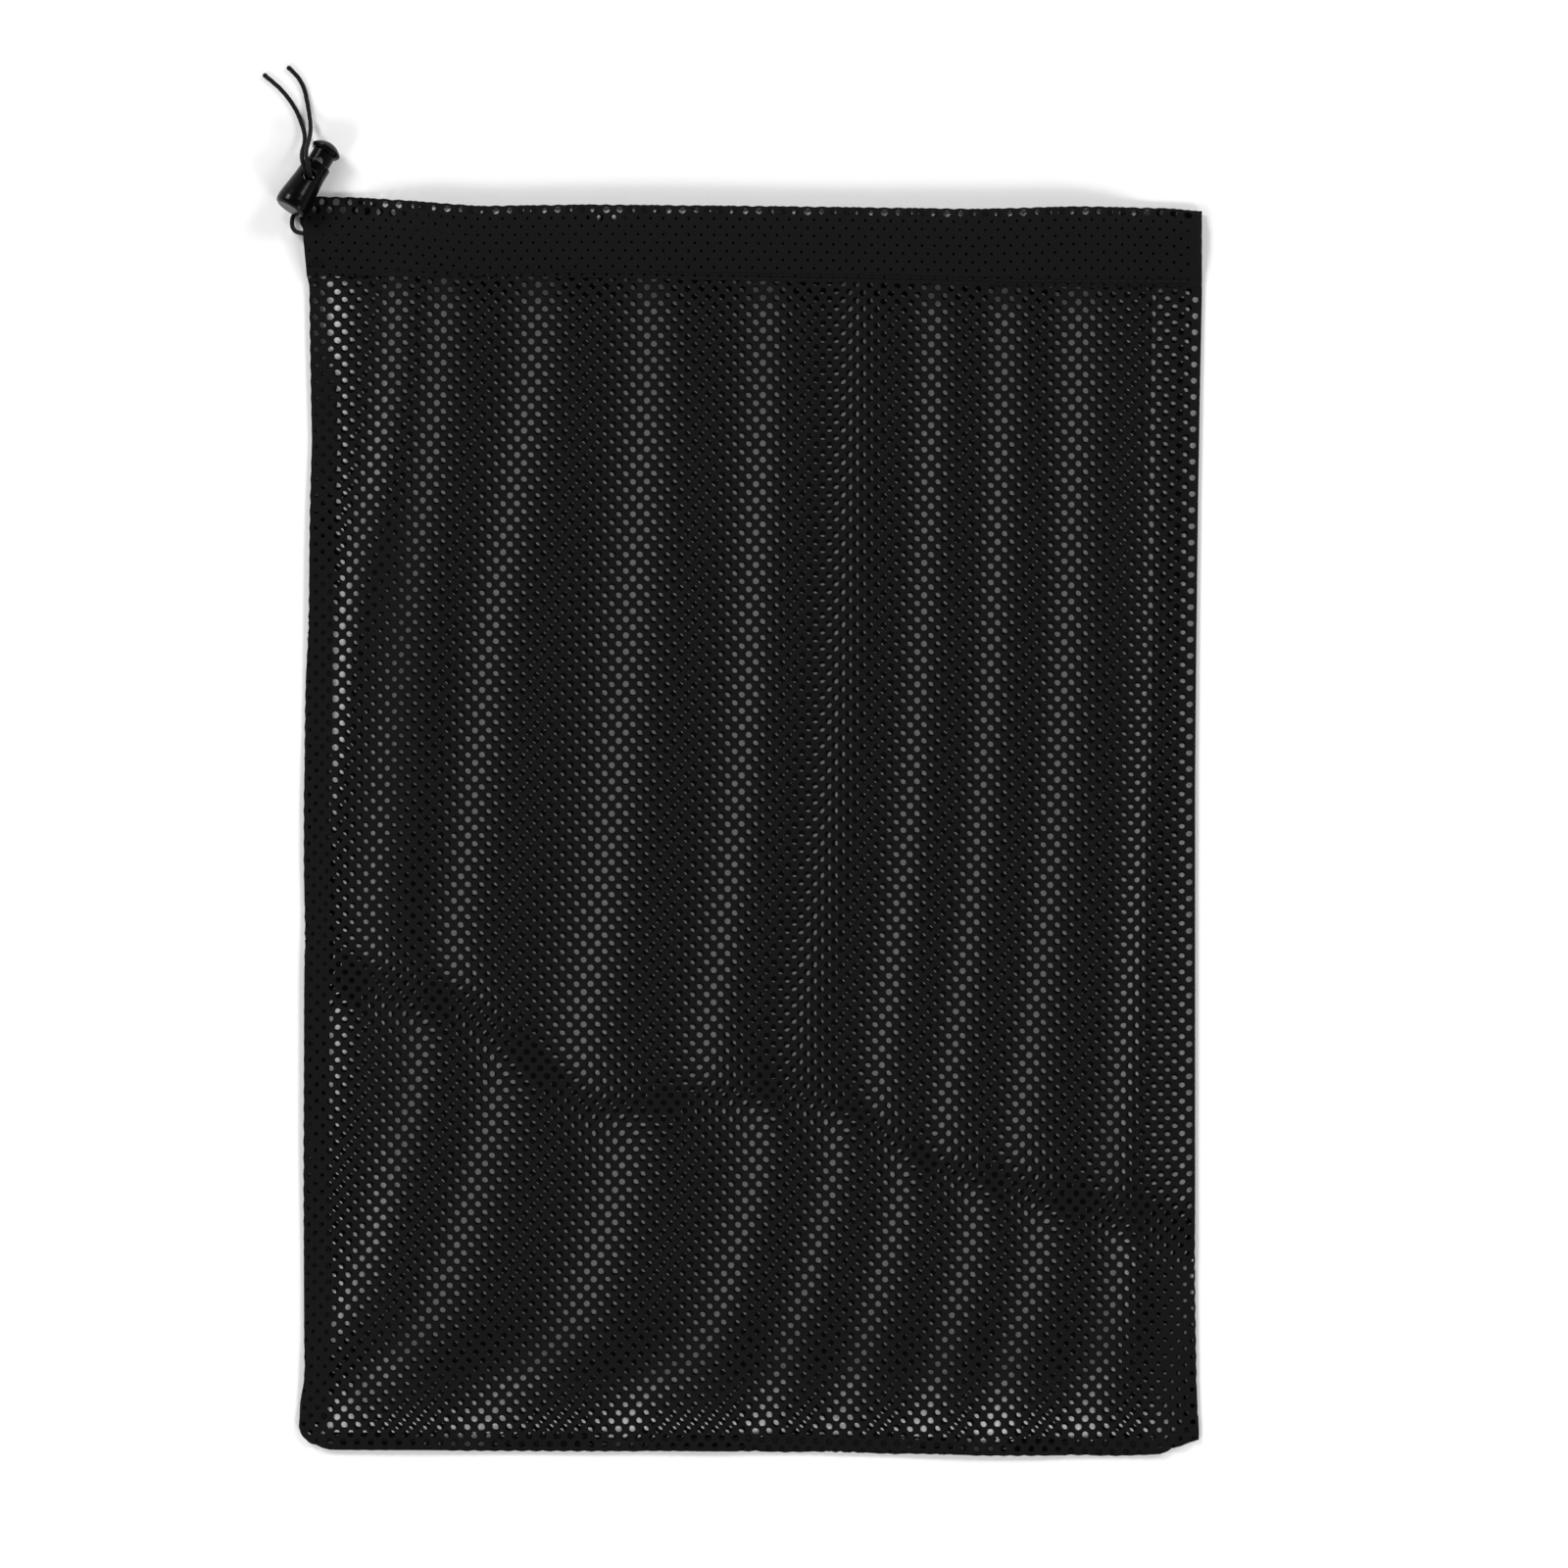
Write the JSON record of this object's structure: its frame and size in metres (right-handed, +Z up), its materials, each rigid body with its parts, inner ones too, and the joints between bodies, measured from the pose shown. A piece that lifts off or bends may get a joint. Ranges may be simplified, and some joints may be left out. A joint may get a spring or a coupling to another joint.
{
  "type": "mesh laundry bag",
  "caption": "Flat, empty mesh laundry bag with a hemmed drawcord mouth and a spring cord lock on the cord's free ends.",
  "frame": {"origin": "middle of the flat bag's underside, on the surface it lies on", "axes": "+Y towards the mouth, +X towards the folded side, +Z up through the bag"},
  "size_m": [0.3145, 0.466, 0.0156],
  "materials": {
    "mesh_cloth": "black knitted polyester mesh",
    "sewing_thread": "black polyester sewing thread",
    "braided_cord": "black braided polyester cord",
    "lock_plastic": "black moulded plastic, satin",
    "spring_steel": "drawn wire"
  },
  "bodies": {
    "bag": {"front_panel": "mesh_cloth", "back_panel": "mesh_cloth", "side_fold": "mesh_cloth", "hem_front": "mesh_cloth", "hem_back": "mesh_cloth", "side_allowance": "mesh_cloth", "bottom_allowance": "mesh_cloth", "hem_stitch_front": "sewing_thread", "hem_stitch_back": "sewing_thread", "side_seam_stitch": "sewing_thread", "bottom_seam_stitch": "sewing_thread", "cord_exit_tack": "sewing_thread", "drawcord_run": "braided_cord"},
    "drawcord": {"drawcord_loop_front": "braided_cord", "drawcord_loop_back": "braided_cord"},
    "cord_lock": {"lock_barrel": "lock_plastic", "lock_spring": "spring_steel", "cord_tail_left": "braided_cord", "cord_tail_right": "braided_cord"},
    "plunger": {"lock_plunger": "lock_plastic"}
  },
  "joints": [
    {"name": "drawcord_pull", "type": "slide", "parent": "bag", "child": "drawcord", "axis": [-1, 0, 0], "range_m": [0, 0.012]},
    {"name": "lock_swivel", "type": "hinge", "parent": "drawcord", "child": "cord_lock", "pos_m": [-0.14801, 0.21711, 0.00706], "axis": [0, 0, 1], "range_deg": [-40, 0]},
    {"name": "plunger_press", "type": "slide", "parent": "cord_lock", "child": "plunger", "axis": [-0.4924, -0.8529, 0.1736], "range_m": [0, 0.004], "stiffness_N_per_m": 800, "springref_m": -0.0015, "deforming": ["lock_spring"]}
  ]
}
